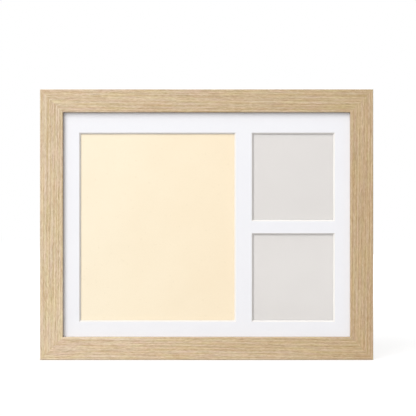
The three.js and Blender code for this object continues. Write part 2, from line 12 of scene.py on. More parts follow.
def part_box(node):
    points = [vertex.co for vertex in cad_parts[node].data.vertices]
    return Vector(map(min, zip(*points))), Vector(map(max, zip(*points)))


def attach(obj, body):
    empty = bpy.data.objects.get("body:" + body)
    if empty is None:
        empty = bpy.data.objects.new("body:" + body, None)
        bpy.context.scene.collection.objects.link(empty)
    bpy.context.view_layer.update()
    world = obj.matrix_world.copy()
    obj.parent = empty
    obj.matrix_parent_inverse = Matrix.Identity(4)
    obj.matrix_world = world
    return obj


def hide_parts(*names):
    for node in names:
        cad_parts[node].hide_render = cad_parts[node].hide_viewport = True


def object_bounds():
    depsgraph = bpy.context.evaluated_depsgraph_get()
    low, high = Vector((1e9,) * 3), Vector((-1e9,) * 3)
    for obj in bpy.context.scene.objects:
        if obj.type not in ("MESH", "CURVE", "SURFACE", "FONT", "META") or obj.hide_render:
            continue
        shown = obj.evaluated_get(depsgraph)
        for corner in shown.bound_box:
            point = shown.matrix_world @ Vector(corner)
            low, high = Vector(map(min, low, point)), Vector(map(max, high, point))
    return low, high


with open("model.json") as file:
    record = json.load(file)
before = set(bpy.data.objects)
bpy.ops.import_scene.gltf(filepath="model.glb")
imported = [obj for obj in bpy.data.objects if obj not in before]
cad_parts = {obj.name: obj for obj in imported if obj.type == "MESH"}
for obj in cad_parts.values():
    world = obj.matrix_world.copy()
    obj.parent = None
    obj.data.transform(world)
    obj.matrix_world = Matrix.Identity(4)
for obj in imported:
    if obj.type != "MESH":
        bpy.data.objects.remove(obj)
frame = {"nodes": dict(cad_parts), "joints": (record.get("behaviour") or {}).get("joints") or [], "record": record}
CAD_LOW, CAD_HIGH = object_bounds()
MIDDLE = (CAD_LOW + CAD_HIGH) / 2

# The photograph: its side, and where the frame's outline lies in it, in pixels
PICTURE_SIDE = 416
OUTLINE_LEFT, OUTLINE_RIGHT = 39.9, 373.35
OUTLINE_TOP, OUTLINE_BOTTOM = 89.4, 360.0

# Camera, straight on to the rails' front faces
CAMERA_DISTANCE = 1.1
SENSOR_WIDTH_MM = 36

# Light. A level of 1 shows a colour as it is written
KEY_PLACE = Vector((-1.65, -2.6, 2.0))
KEY_SIZE = (2.4, 3.5)
KEY_LEVEL = 0.71
BACK_PLACE = Vector((0.9, 2.0, 0.9))
BACK_SIZE = (1.5, 1.4)
BACK_LEVEL = 0.6
WORLD_FILL = 0.46

# Floor. Its glow makes it look white, and is weaker near the frame, where the shadow is kept
FLOOR_SIDE = 8.0
FLOOR_GREY = (0.4, 0.4, 0.4, 1)
FLOOR_NEAR, FLOOR_FAR = 0.35, 0.9
FLOOR_GLOW_NEAR, FLOOR_GLOW_FAR = 0.66, 0.8

# Oak tones from one end of each rail to the other: left to right, or bottom to top. They are partly the oak's own
# tone and partly painted light: the rails are painted darker towards the right, where the light falls off
RAIL_TONES_WITH_PAINTED_LIGHT = {
    "top": ((0.64, 0.49, 0.31), (0.53, 0.39, 0.22)),
    "bottom": ((0.72, 0.56, 0.37), (0.56, 0.41, 0.23)),
    "left": ((0.70, 0.55, 0.34), (0.62, 0.47, 0.30)),
    "right": ((0.56, 0.40, 0.23), (0.55, 0.40, 0.23)),
}
BARE_OAK_TONES = ((0.64, 0.50, 0.34), (0.62, 0.48, 0.32))
STRIP_TONES = ((0.60, 0.46, 0.29), (0.58, 0.44, 0.27))

# How the oak's grain and its rosy and golden patches change its tone, and the colour of its pores
OAK_GRAIN = ((0.71, 0.61, 0.49), (1.27, 1.38, 1.57))
OAK_ROSY = ((0.988, 1.022, 0.988), (1.012, 0.978, 1.012))
OAK_GOLDEN = ((1.0, 1.0, 1.08), (1.0, 1.0, 0.92))
OAK_PORE = (0.30, 0.19, 0.10)

# Painted shade on the rails' inner edges, where they meet the mat: how dark they are, as a share of their faces'
# tones
PAINTED_SHADE_ON_SIGHT_EDGE = (0.62, 0.62, 0.64)

# How far apart growth rings come to the wood's surface, and how much of X + Y + Z a diagonal wave takes
RING_SPACING = 0.0026
DIAGONAL_PERIOD = math.tau / 10

# The two tones between which each other finish clouds, and the tones of its finer marks
PAPER_TONES = ((0.888, 0.888, 0.922), (0.904, 0.904, 0.934))
PAPER_TOOTH = (0.865, 0.865, 0.893)
CORE_TONES = ((0.800, 0.776, 0.748), (0.840, 0.815, 0.786))
CLAY_TONES = ((0.956, 0.846, 0.650), (0.978, 0.876, 0.685))
CLAY_SAND = (0.931, 0.814, 0.615)
CLAY_PIT = (0.70, 0.58, 0.40)
CARD_TONES = ((0.758, 0.729, 0.706), (0.782, 0.753, 0.730))
CARD_FIBRE = (0.739, 0.710, 0.687)
HARDBOARD_TONES = ((0.185, 0.098, 0.044), (0.385, 0.238, 0.128))
HARDBOARD_CLOUD = (0.235, 0.130, 0.062)
HARDBOARD_SPECK = (0.075, 0.038, 0.018)
ZINC_TONES = ((0.36, 0.37, 0.385), (0.56, 0.57, 0.585))
BRASS_TONES = ((0.46, 0.300, 0.095), (0.66, 0.455, 0.165))
TAPE_WHITE = (0.86, 0.86, 0.83)
FOAM_BOARD_WHITE = (0.83, 0.82, 0.78)

# How the clay's tone changes towards the right edge of the tile
CLAY_DRIFT = (0.995, 0.958, 0.918)

# How dark a plate's rolling lines and a foam's cell walls are, as a share of its tone
PLATE_LINE = (0.86, 0.86, 0.86)
FOAM_WALL = (0.86, 0.85, 0.83)

# The share of light that each face of the clear sheets mirrors, seen straight on
SHEET_MIRROR = 0.035

# Most of a noise's values lie between these
NOISE_LOW, NOISE_HIGH = 0.3, 0.7

# Where a Mix node has its share and its two colours, and where it gives the mixed colour
MIX_SHARE, MIX_FIRST, MIX_SECOND = 0, 6, 7
MIX_RESULT = 2

# Turns of a pattern that runs along X: none, or on end, so that it runs along Z
NO_TURN = (0, 0, 0)
ON_END = (0, math.radians(90), 0)

# Places of X and Z in a vector
X, Z = 0, 2

# Places of the finishes that a rail and the mat have after their first
RAIL_BACK, RAIL_PAINTED_SHADE_EDGE = 1, 2
MAT_CORE = 1

# Mesh work
MERGE_DISTANCE = 2e-6
FLAT_ANGLE = math.radians(0.5)
SMOOTH_ANGLE = math.radians(35)
EASED_ANGLE = math.radians(50)
SHARP_ANGLE = math.radians(60)
ROUND_SIDES = 48
DOME_STEPS = 8

# How far a normal points along a direction on a face that is on that side, and on one that is square to it
ON_SIDE = 0.5
SQUARE_ON = 0.95

# A mitred end points as far along X as along Z, give or take this
MITRE_SLACK = 0.1

# The mitres are drawn together until this is left of each rail's share of the glue line
MITRE_HAIRLINE = 0.000005

# Clay tile
TILE_CORNER = 0.004
TILE_EDGE = 0.0012
TILE_CELLS = (56, 66)
TILE_SWELL = 0.0001
TILE_SWELL_LENGTH = 0.034

# Hardware. The buttons' joints have names that start with this
BUTTON_JOINT = "turn_"
BUTTON_TIP_RADIUS = 0.0032
BUTTON_HOLE_RADIUS = 0.0016
BUTTON_EDGE = 0.00025
SCREW_HEAD_HEIGHT = 0.0018
SCREW_HEAD_FLAT = 0.62
SCREW_SHANK_RADIUS = 0.0014
SCREW_POINT = 0.0025
THREAD_DEPTH = 0.0003
THREAD_PITCH = 0.0009
RECESS_ARM = 0.00165
RECESS_WIDTH = 0.00028
RECESS_DEPTH = 0.0009
RECESS_TAPER = 0.55
RIVET_HEAD_HEIGHT = 0.0008
RIVET_SHANK_RADIUS = 0.0011
NAIL_HEAD_HEIGHT = 0.0007
NAIL_SHANK_RADIUS = 0.0007
NAIL_POINT = 0.0012

# How far the edges of sheet, board, foam and card are eased
SHEET_EDGE = 0.00008
BOARD_EDGE = 0.0003
FOAM_EDGE = 0.0004
CARD_EDGE = 0.00005


# Shader nodes


def add_node(tree, kind, inputs=None, **settings):
    """A node with its settings, and with inputs that are either plain values or other nodes' outputs."""
    made = tree.nodes.new(kind)
    for key, value in settings.items():
        setattr(made, key, value)
    for key, value in (inputs or {}).items():
        if isinstance(value, bpy.types.NodeSocket):
            tree.links.new(value, made.inputs[key])
        else:
            made.inputs[key].default_value = value
    return made


def math_node(tree, operation, *values):
    return add_node(tree, "ShaderNodeMath", dict(enumerate(values)), operation=operation).outputs[0]


def weighted_sum(tree, *parts):
    """The sum of some outputs, each times its share."""
    total = 0.0
    for output, share in parts:
        total = math_node(tree, "MULTIPLY_ADD", output, share, total)
    return total


def spread(tree, value, low=NOISE_LOW, high=NOISE_HIGH, to_low=0.0, to_high=1.0, ease="LINEAR"):
    """Maps low..high of a value to to_low..to_high, held at the ends."""
    values = {"Value": value, "From Min": low, "From Max": high, "To Min": to_low, "To Max": to_high}
    return add_node(tree, "ShaderNodeMapRange", values, interpolation_type=ease).outputs["Result"]


def mixed(tree, share, first, second, blend="MIX"):
    """first where share is 0, second where it is 1. Colours are given with three numbers or as outputs."""
    first, second = ((*value, 1) if isinstance(value, tuple) else value for value in (first, second))
    inputs = {MIX_SHARE: share, MIX_FIRST: first, MIX_SECOND: second}
    made = add_node(tree, "ShaderNodeMix", inputs, data_type="RGBA", blend_type=blend)
    return made.outputs[MIX_RESULT]


def clouded(tree, value, tones):
    """The first tone where a noise is low, and the second where it is high."""
    return mixed(tree, spread(tree, value), *tones)


def tinted(colour, factors):
    return tuple(c * f for c, f in zip(colour, factors))


def place_on_piece(tree):
    """Object coordinates. Every piece sits at the origin, so they are the model's own."""
    return add_node(tree, "ShaderNodeTexCoord").outputs["Object"]


def stretched(tree, scale, turn=NO_TURN):
    """The place on the piece, turned and then scaled on each axis. A scale is in patterns per metre."""
    turned = add_node(tree, "ShaderNodeMapping", {"Vector": place_on_piece(tree), "Rotation": turn})
    return add_node(tree, "ShaderNodeMapping", {"Vector": turned.outputs[0], "Scale": scale}).outputs[0]


def cloud(tree, scale, turn=NO_TURN, detail=2.0, rough=0.5, warp=0.0):
    """Noise from about 0 to 1, with one scale for all axes or one for each."""
    scale = (scale,) * 3 if isinstance(scale, (int, float)) else scale
    values = {"Vector": stretched(tree, scale, turn), "Scale": 1.0, "Detail": detail}
    values.update({"Roughness": rough, "Distortion": warp})
    return add_node(tree, "ShaderNodeTexNoise", values).outputs["Fac"]


def drift(tree, along, low, high):
    """A share that runs from 0 to 1 between two places along X, Y or Z."""
    parts = add_node(tree, "ShaderNodeSeparateXYZ", {0: place_on_piece(tree)}).outputs
    return spread(tree, parts[along], low, high)


def relief(tree, shader, height, strength, depth):
    """Bumps on a finish, where a height of 1 stands for depth in metres."""
    bump = add_node(tree, "ShaderNodeBump", {"Height": height, "Strength": strength, "Distance": depth})
    tree.links.new(bump.outputs["Normal"], shader.inputs["Normal"])


# Camera, light and floor


def link(obj):
    bpy.context.scene.collection.objects.link(obj)
    return obj


def add_camera():
    """Looks straight at the frame, from where its outline falls as it does in the photograph."""
    scale = (CAD_HIGH.x - CAD_LOW.x) / (OUTLINE_RIGHT - OUTLINE_LEFT)
    across = PICTURE_SIDE / 2 - (OUTLINE_LEFT + OUTLINE_RIGHT) / 2
    up = (OUTLINE_TOP + OUTLINE_BOTTOM) / 2 - PICTURE_SIDE / 2
    data = bpy.data.cameras.new("camera")
    data.sensor_width = SENSOR_WIDTH_MM
    data.lens = SENSOR_WIDTH_MM * CAMERA_DISTANCE / (PICTURE_SIDE * scale)
    camera = link(bpy.data.objects.new("camera", data))
    camera.location = (MIDDLE.x + across * scale, CAD_LOW.y - CAMERA_DISTANCE, MIDDLE.z + up * scale)
    camera.rotation_euler = (math.radians(90), 0, 0)
    bpy.context.scene.camera = camera


def add_softbox(name, place, size, level, facing):
    """A soft lamp aimed at the frame, so strong that a face along facing shows its colour at level."""
    way = place - MIDDLE
    data = bpy.data.lights.new(name, "AREA")
    data.shape = "RECTANGLE"
    data.size, data.size_y = size
    data.energy = level * math.pi**2 * way.length_squared / way.normalized().dot(facing)
    lamp = link(bpy.data.objects.new(name, data))
    lamp.location = place
    lamp.rotation_euler = way.to_track_quat("Z", "Y").to_euler()
    lamp.visible_camera = False


def seen_directly(tree):
    """1 for rays from the camera and those that mirrors and clear sheets send on, 0 for scattered light."""
    path = add_node(tree, "ShaderNodeLightPath").outputs
    mirrored = math_node(tree, "MAXIMUM", path["Is Glossy Ray"], path["Is Transmission Ray"])
    return math_node(tree, "MAXIMUM", path["Is Camera Ray"], mirrored)


def add_world():
    """White where it is seen, and a weaker fill for what it lights."""
    world = bpy.data.worlds.new("studio")
    world.use_nodes = True
    tree = world.node_tree
    level = math_node(tree, "MAXIMUM", seen_directly(tree), WORLD_FILL)
    tree.links.new(level, tree.nodes["Background"].inputs["Strength"])
    tree.nodes["Background"].inputs["Color"].default_value = (1, 1, 1, 1)
    bpy.context.scene.world = world


def studio_floor():
    """A matt grey, and a glow that is only there where the floor is seen."""
    material = bpy.data.materials.new("studio_floor")
    material.use_nodes = True
    tree = material.node_tree
    tree.nodes.clear()
    length = add_node(tree, "ShaderNodeVectorMath", {0: place_on_piece(tree)}, operation="LENGTH")
    away = length.outputs["Value"]
    glow = spread(tree, away, FLOOR_NEAR, FLOOR_FAR, FLOOR_GLOW_NEAR, FLOOR_GLOW_FAR, "SMOOTHSTEP")
    strength = math_node(tree, "MULTIPLY", glow, seen_directly(tree))
    white = add_node(tree, "ShaderNodeEmission", {"Color": (1, 1, 1, 1), "Strength": strength})
    matt = add_node(tree, "ShaderNodeBsdfDiffuse", {"Color": FLOOR_GREY})
    both = add_node(tree, "ShaderNodeAddShader", {0: white.outputs[0], 1: matt.outputs[0]})
    add_node(tree, "ShaderNodeOutputMaterial", {"Surface": both.outputs[0]})
    return material


def add_floor():
    """A pale floor that looks white, with the frame's soft shadow kept close round it."""
    bm = bmesh.new()
    bmesh.ops.create_grid(bm, x_segments=1, y_segments=1, size=FLOOR_SIDE / 2)
    bmesh.ops.translate(bm, verts=bm.verts, vec=(0, 0, CAD_LOW.z))
    mesh = bpy.data.meshes.new("floor")
    bm.to_mesh(mesh)
    bm.free()
    mesh.materials.append(studio_floor())
    floor = link(bpy.data.objects.new("floor", mesh))


# Finishes


def new_finish(name, **inputs):
    """A material with one Principled shader, and the values of its sockets that are the same all over."""
    material = bpy.data.materials.new(name)
    material.use_nodes = True
    shader = material.node_tree.nodes["Principled BSDF"]
    for key, value in inputs.items():
        shader.inputs[key.replace("_", " ")].default_value = value
    return material, material.node_tree, shader


def growth_rings(tree, turn):
    """Rings that the wood is sawn through aslant: wavering lines along it, on its face as on its sides."""
    across = DIAGONAL_PERIOD / RING_SPACING
    place = stretched(tree, (3, across, across), turn)
    values = {"Vector": place, "Scale": 1.0, "Distortion": 5.0, "Detail": 1.0}
    return add_node(tree, "ShaderNodeTexWave", values, bands_direction="DIAGONAL").outputs["Fac"]


def oak(name, upright, tones, rough=0.5):
    """Straight-grained oak: rings, lines and fibres run with it, pores fleck it and its tone drifts."""
    material, tree, shader = new_finish(name, Specular_IOR_Level=0.35)
    turn = ON_END if upright else NO_TURN
    along = Z if upright else X
    # Each scale is along the grain first, and then across it
    bands = cloud(tree, (4, 210, 210), turn)
    rings = growth_rings(tree, turn)
    lines = cloud(tree, (9, 1100, 1100), turn, detail=4, rough=0.68)
    fibres = cloud(tree, (330, 2600, 2600), turn, rough=0.6)
    pores = spread(tree, cloud(tree, (110, 3400, 3400), turn, detail=1), 0.61, 0.66)
    grain = weighted_sum(tree, (bands, 0.15), (rings, 0.15), (lines, 0.7), (fibres, 0.8))
    shade = mixed(tree, spread(tree, grain, 0.6, 1.2), *OAK_GRAIN)
    rosy = clouded(tree, cloud(tree, (90, 420, 420), turn, detail=1), OAK_ROSY)
    golden = clouded(tree, cloud(tree, (30, 380, 380), turn, detail=1), OAK_GOLDEN)
    # On the front rails this drift is partly the oak's own tone and partly painted light, darker towards the right
    wood = mixed(tree, drift(tree, along, CAD_LOW[along], CAD_HIGH[along]), *tones)
    for layer in (shade, rosy, golden):
        wood = mixed(tree, 1.0, wood, layer, "MULTIPLY")
    wood = mixed(tree, math_node(tree, "MULTIPLY", pores, 0.52), wood, OAK_PORE)
    tree.links.new(wood, shader.inputs["Base Color"])
    tree.links.new(spread(tree, pores, 0, 1, rough, rough + 0.25), shader.inputs["Roughness"])
    height = math_node(tree, "SUBTRACT", math_node(tree, "MULTIPLY", fibres, 0.4), pores)
    relief(tree, shader, height, strength=0.25, depth=0.00012)
    return material


def oak_both_ways(name, tones, rough):
    """An oak for upright pieces, under True, and one for pieces that lie across, under False."""
    ways = {True: "upright", False: "across"}
    return {upright: oak(f"{name}_{way}", upright, tones, rough) for upright, way in ways.items()}


def mat_paper():
    """The mat's white facing: a fine paper tooth and a hardly visible clouding."""
    material, tree, shader = new_finish("mat_paper", Roughness=0.85, Specular_IOR_Level=0.15)
    tooth = cloud(tree, 1500, detail=3, rough=0.65)
    white = clouded(tree, cloud(tree, 28), PAPER_TONES)
    white = mixed(tree, spread(tree, tooth, to_high=0.5), white, PAPER_TOOTH)
    tree.links.new(white, shader.inputs["Base Color"])
    relief(tree, shader, tooth, strength=0.12, depth=0.00008)
    return material


def mat_core():
    """The cut core of the mat, faintly layered."""
    material, tree, shader = new_finish("mat_core", Roughness=0.9, Specular_IOR_Level=0.1)
    plies = cloud(tree, (60, 3600, 60))
    tree.links.new(clouded(tree, plies, CORE_TONES), shader.inputs["Base Color"])
    relief(tree, shader, plies, strength=0.1, depth=0.00005)
    return material


def dried_clay():
    """Matt cream clay: soft clouding, a fine sandy grain and a few small pits."""
    material, tree, shader = new_finish("dried_clay", Roughness=0.88, Specular_IOR_Level=0.15)
    sand = cloud(tree, 900, detail=3, rough=0.6)
    pits = spread(tree, cloud(tree, 420, detail=1), 0.70, 0.78)
    low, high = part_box("clay_tile")
    cream = clouded(tree, cloud(tree, 22, detail=3, rough=0.55), CLAY_TONES)
    cream = mixed(tree, spread(tree, sand, to_high=0.35), cream, CLAY_SAND)
    drifted = mixed(tree, 1.0, cream, CLAY_DRIFT, "MULTIPLY")
    cream = mixed(tree, drift(tree, X, low.x, high.x), cream, drifted)
    cream = mixed(tree, math_node(tree, "MULTIPLY", pits, 0.12), cream, CLAY_PIT)
    tree.links.new(cream, shader.inputs["Base Color"])
    height = math_node(tree, "SUBTRACT", math_node(tree, "MULTIPLY", sand, 0.5), pits)
    relief(tree, shader, height, strength=0.18, depth=0.0001)
    return material


def grey_card():
    """Plain pale grey photo card with a faint fibre and clouding."""
    material, tree, shader = new_finish("grey_card", Roughness=0.7, Specular_IOR_Level=0.2)
    fibre = cloud(tree, 1300, detail=3, rough=0.6)
    grey = clouded(tree, cloud(tree, 35), CARD_TONES)
    grey = mixed(tree, spread(tree, fibre, to_high=0.4), grey, CARD_FIBRE)
    tree.links.new(grey, shader.inputs["Base Color"])
    relief(tree, shader, fibre, strength=0.1, depth=0.00006)
    return material


def clear_sheet():
    """Clear acrylic: what lies behind shows through it, and it mirrors the room, more so at a slant."""
    material, tree, shader = new_finish("clear_sheet", Base_Color=(0.95, 0.95, 0.95, 1), Metallic=1.0)
    haze = spread(tree, cloud(tree, 45), to_low=0.03, to_high=0.07)
    tree.links.new(haze, shader.inputs["Roughness"])
    through = add_node(tree, "ShaderNodeBsdfTransparent", {"Color": (1, 1, 1, 1)})
    slant = add_node(tree, "ShaderNodeLayerWeight", {"Blend": 0.5}).outputs["Facing"]
    gloss = spread(tree, math_node(tree, "POWER", slant, 5.0), 0, 1, SHEET_MIRROR, 1.0)
    sheet = add_node(tree, "ShaderNodeMixShader", {0: gloss, 1: through.outputs[0], 2: shader.outputs[0]})
    tree.links.new(sheet.outputs[0], tree.nodes["Material Output"].inputs["Surface"])
    return material


def hardboard():
    """Brown pressed hardboard: matted fibres, dark specks and a slightly polished face."""
    material, tree, shader = new_finish("hardboard", Specular_IOR_Level=0.35)
    fibres = cloud(tree, (420, 420, 950), detail=4, rough=0.72, warp=1.6)
    clouding = cloud(tree, 24, detail=4, rough=0.6)
    specks = spread(tree, cloud(tree, 620), 0.62, 0.72)
    brown = mixed(tree, spread(tree, fibres, 0.32, 0.68), *HARDBOARD_TONES)
    brown = mixed(tree, spread(tree, clouding, 0.35, 0.65, to_high=0.5), brown, HARDBOARD_CLOUD)
    brown = mixed(tree, math_node(tree, "MULTIPLY", specks, 0.7), brown, HARDBOARD_SPECK)
    tree.links.new(brown, shader.inputs["Base Color"])
    tree.links.new(spread(tree, fibres, to_low=0.48, to_high=0.66), shader.inputs["Roughness"])
    relief(tree, shader, fibres, strength=0.2, depth=0.0001)
    return material


def plated(name, tones, rough):
    """Plated steel: fine rolling lines, cloudy plating and scuffs that change its gloss."""
    material, tree, shader = new_finish(name, Metallic=1.0)
    clouding = cloud(tree, 240, detail=3)
    lines = cloud(tree, (400, 400, 5200))
    metal = clouded(tree, clouding, tones)
    metal = mixed(tree, spread(tree, lines, to_high=0.35), metal, tinted(tones[0], PLATE_LINE))
    scuffs = spread(tree, clouding, to_low=rough + 0.1, to_high=rough - 0.06)
    tree.links.new(metal, shader.inputs["Base Color"])
    tree.links.new(scuffs, shader.inputs["Roughness"])
    relief(tree, shader, lines, strength=0.06, depth=0.00004)
    return material


def foam(name, colour):
    """Closed-cell foam: small bubbles with darker walls between them."""
    material, tree, shader = new_finish(name, Roughness=0.95, Specular_IOR_Level=0.15)
    place = stretched(tree, (1600, 1600, 1600))
    cells = add_node(tree, "ShaderNodeTexVoronoi", {"Vector": place, "Scale": 1.0}).outputs["Distance"]
    shade = mixed(tree, spread(tree, cells, 0.1, 0.7), colour, tinted(colour, FOAM_WALL))
    tree.links.new(shade, shader.inputs["Base Color"])
    relief(tree, shader, cells, strength=0.3, depth=0.0002)
    return material


# Mesh helpers


def centre_of(node):
    low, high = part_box(node)
    return (low + high) / 2


def is_upright(node):
    return node.endswith(("left", "right"))


def body_of(node):
    bodies = frame["record"]["behaviour"]["bodies"]
    return next(body for body, nodes in bodies.items() if node in nodes)


def merged_copy(node):
    """A node's solid with its loose triangles joined and its flat faces made whole."""
    bm = bmesh.new()
    bm.from_mesh(frame["nodes"][node].data)
    bmesh.ops.remove_doubles(bm, verts=bm.verts, dist=MERGE_DISTANCE)
    bmesh.ops.dissolve_limit(bm, angle_limit=FLAT_ANGLE, verts=bm.verts, edges=bm.edges)
    bmesh.ops.dissolve_verts(bm, verts=[v for v in bm.verts if len(v.link_edges) == 2])
    bm.normal_update()
    return bm


def parts_of(made, kind):
    """The vertices or the edges among what an extrusion made."""
    return [part for part in made["geom"] if isinstance(part, kind)]


def depth_of(edge):
    """How far an edge runs from the front to the back."""
    return abs(edge.verts[0].co.y - edge.verts[1].co.y)


def sharp_edges(bm):
    return [e for e in bm.edges if len(e.link_faces) == 2 and e.calc_face_angle() > SHARP_ANGLE]


def bevelled(bm, edges, width, segments=2):
    bmesh.ops.bevel(
        bm,
        geom=edges,
        offset=width,
        offset_type="OFFSET",
        segments=segments,
        profile=0.5,
        affect="EDGES",
        material=-1,
        clamp_overlap=True,
    )


def lathe(profile):
    """A solid turned about the Y axis, from points of radius and height. An end off the axis stays open."""
    bm = bmesh.new()
    verts = [bm.verts.new((radius, height, 0)) for radius, height in profile]
    edges = [bm.edges.new(pair) for pair in zip(verts, verts[1:])]
    bmesh.ops.spin(
        bm,
        geom=verts + edges,
        cent=(0, 0, 0),
        axis=(0, 1, 0),
        angle=math.tau,
        steps=ROUND_SIDES,
        use_merge=True,
    )
    bmesh.ops.remove_doubles(bm, verts=bm.verts, dist=MERGE_DISTANCE)
    bmesh.ops.recalc_face_normals(bm, faces=bm.faces)
    return bm


def dome(radius, height, flat=0.0):
    """The points of a rounded head, from its rim to a flat of that radius on top."""
    points = []
    for step in range(DOME_STEPS + 1):
        angle = step / DOME_STEPS * math.pi / 2
        points.append((flat + (radius - flat) * math.cos(angle), height * math.sin(angle)))
    return points


def ease_edges(piece, width):
    ease = piece.modifiers.new("eased_edges", "BEVEL")
    ease.width = width
    ease.segments = 2
    ease.limit_method = "ANGLE"
    ease.angle_limit = EASED_ANGLE


def add_piece(name, bm, node, slot, *finishes, ease=0.0):
    """Makes a mesh the piece that stands for a node and rides on its body. Its edges may be eased."""
    bm.normal_update()
    for face in bm.faces:
        face.smooth = True
    for edge in bm.edges:
        edge.smooth = len(edge.link_faces) == 2 and edge.calc_face_angle() < SMOOTH_ANGLE
    mesh = bpy.data.meshes.new(name)
    bm.to_mesh(mesh)
    bm.free()
    for finish in finishes:
        mesh.materials.append(finish)
    piece = link(bpy.data.objects.new(name, mesh))
    if ease:
        ease_edges(piece, ease)
    even = piece.modifiers.new("even_faces", "WEIGHTED_NORMAL")
    even.keep_sharp = True
    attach(piece, body_of(node))
    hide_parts(node)


# What shows from the front


def mitred_faces(bm, along, way):
    """The slanted faces at one end of a rail: way is -1 for its low end and 1 for its high end."""
    slanted = [f for f in bm.faces if abs(abs(f.normal.x) - abs(f.normal.z)) < MITRE_SLACK]
    return [f for f in slanted if f.normal[along] * way > ON_SIDE]


def close_mitres(bm, along):
    """Draws a rail's two ends out along it until only a hairline is left between it and its neighbours."""
    for way in (-1, 1):
        ends = mitred_faces(bm, along, way)
        verts = list({vert for face in ends for vert in face.verts})
        tip = max(vert.co[along] * way for vert in verts)
        limit = CAD_HIGH[along] if way > 0 else -CAD_LOW[along]
        step = Vector((0, 0, 0))
        step[along] = way * (limit - tip - MITRE_HAIRLINE)
        bmesh.ops.translate(bm, verts=verts, vec=step)
        bmesh.ops.triangulate(bm, faces=ends, quad_method="BEAUTY", ngon_method="BEAUTY")


def add_rails():
    """The four rails: each its own oak on the face and sides, with painted light in its tones, bare behind, and
    darker on the inner edge, where shade is painted.
    """
    bare = oak_both_ways("bare_oak", BARE_OAK_TONES, rough=0.75)
    for side, tones in RAIL_TONES_WITH_PAINTED_LIGHT.items():
        node = f"rail_{side}"
        upright = is_upright(node)
        bm = merged_copy(node)
        close_mitres(bm, Z if upright else X)
        inward = (MIDDLE - centre_of(node)).normalized()
        for face in bm.faces:
            if face.normal.y > ON_SIDE:
                face.material_index = RAIL_BACK
            elif face.normal.dot(inward) > SQUARE_ON:
                face.material_index = RAIL_PAINTED_SHADE_EDGE
        front = oak(f"oak_{side}", upright, tones)
        # The inner edge's oak is darkened: painted shade where the rail meets the mat
        edge = oak(f"oak_{side}_edge", upright, [tinted(tone, PAINTED_SHADE_ON_SIGHT_EDGE) for tone in tones])
        add_piece(f"oak_rail_{side}", bm, node, "oak", front, bare[upright], edge)


def add_mat():
    """The mat, faced with paper, with its core bare on the windows' bevels."""
    bm = merged_copy("mat_board")
    for face in bm.faces:
        if ON_SIDE < -face.normal.y < SQUARE_ON:
            face.material_index = MAT_CORE
    add_piece("window_mat", bm, "mat_board", "mat_white", mat_paper(), mat_core())


def cut_into_cells(bm, low, size):
    """Cuts a slab into cells across X and Z, so that its face can swell."""
    for axis, cells in zip((X, Z), TILE_CELLS):
        across = Vector((0, 0, 0))
        across[axis] = 1
        for cell in range(1, cells):
            point = low.copy()
            point[axis] += size[axis] * cell / cells
            geom = bm.verts[:] + bm.edges[:] + bm.faces[:]
            bmesh.ops.bisect_plane(bm, geom=geom, plane_co=point, plane_no=across, dist=MERGE_DISTANCE)


def add_clay_tile():
    """A rolled slab: rounded corners and edges, and a face that swells a little where it was pressed."""
    low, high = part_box("clay_tile")
    size = high - low
    bm = bmesh.new()
    bmesh.ops.create_cube(bm, size=1)
    bmesh.ops.scale(bm, verts=bm.verts, vec=size)
    bmesh.ops.translate(bm, verts=bm.verts, vec=centre_of("clay_tile"))
    corners = [e for e in bm.edges if depth_of(e) > size.y / 2]
    bevelled(bm, corners, TILE_CORNER, segments=8)
    rims = [e for e in sharp_edges(bm) if depth_of(e) < size.y / 2]
    bevelled(bm, rims, TILE_EDGE, segments=4)
    cut_into_cells(bm, low, size)
    for vert in bm.verts:
        if vert.co.y < low.y + MERGE_DISTANCE:
            vert.co.y += TILE_SWELL * (1 + noise.noise(vert.co / TILE_SWELL_LENGTH))
    add_piece("clay_slab", bm, "clay_tile", "clay", dried_clay())


# What shows from behind


def add_boards(board):
    backing = merged_copy("backing_board")
    bevelled(backing, sharp_edges(backing), BOARD_EDGE)
    add_piece("back_panel", backing, "backing_board", "hardboard", board)
    add_piece("stand_leg", merged_copy("easel_strut"), "easel_strut", "hardboard", board)


def turn_button(reach, tail_radius, thickness):
    """A stamped button along X: a round tail about the pivot, straight sides and a smaller round tip."""
    bm = bmesh.new()
    outline = bmesh.ops.create_circle(bm, segments=2 * ROUND_SIDES, radius=tail_radius)["verts"]
    tip = Vector((reach - BUTTON_TIP_RADIUS, 0, 0))
    shoulder = math.acos((tail_radius - BUTTON_TIP_RADIUS) / tip.x)
    for vert in outline:
        if abs(math.atan2(vert.co.y, vert.co.x)) < shoulder:
            vert.co = tip + vert.co * (BUTTON_TIP_RADIUS / tail_radius)
    bmesh.ops.create_circle(bm, segments=2 * ROUND_SIDES, radius=BUTTON_HOLE_RADIUS)
    bmesh.ops.bridge_loops(bm, edges=bm.edges)
    made = bmesh.ops.extrude_face_region(bm, geom=bm.faces[:])
    bmesh.ops.translate(bm, verts=parts_of(made, bmesh.types.BMVert), vec=(0, 0, thickness))
    bmesh.ops.recalc_face_normals(bm, faces=bm.faces)
    bevelled(bm, sharp_edges(bm), BUTTON_EDGE, segments=3)
    bmesh.ops.rotate(bm, verts=bm.verts, cent=(0, 0, 0), matrix=Matrix.Rotation(math.radians(-90), 3, "X"))
    return bm


def cross_corners():
    """The corners of a cross recess, round its middle."""
    arm = ((RECESS_ARM, RECESS_WIDTH), (RECESS_WIDTH, RECESS_WIDTH), (RECESS_WIDTH, RECESS_ARM))
    turns = [Matrix.Rotation(quarter * math.pi / 2, 2) for quarter in range(4)]
    return [turn @ Vector(corner) for turn in turns for corner in arm]


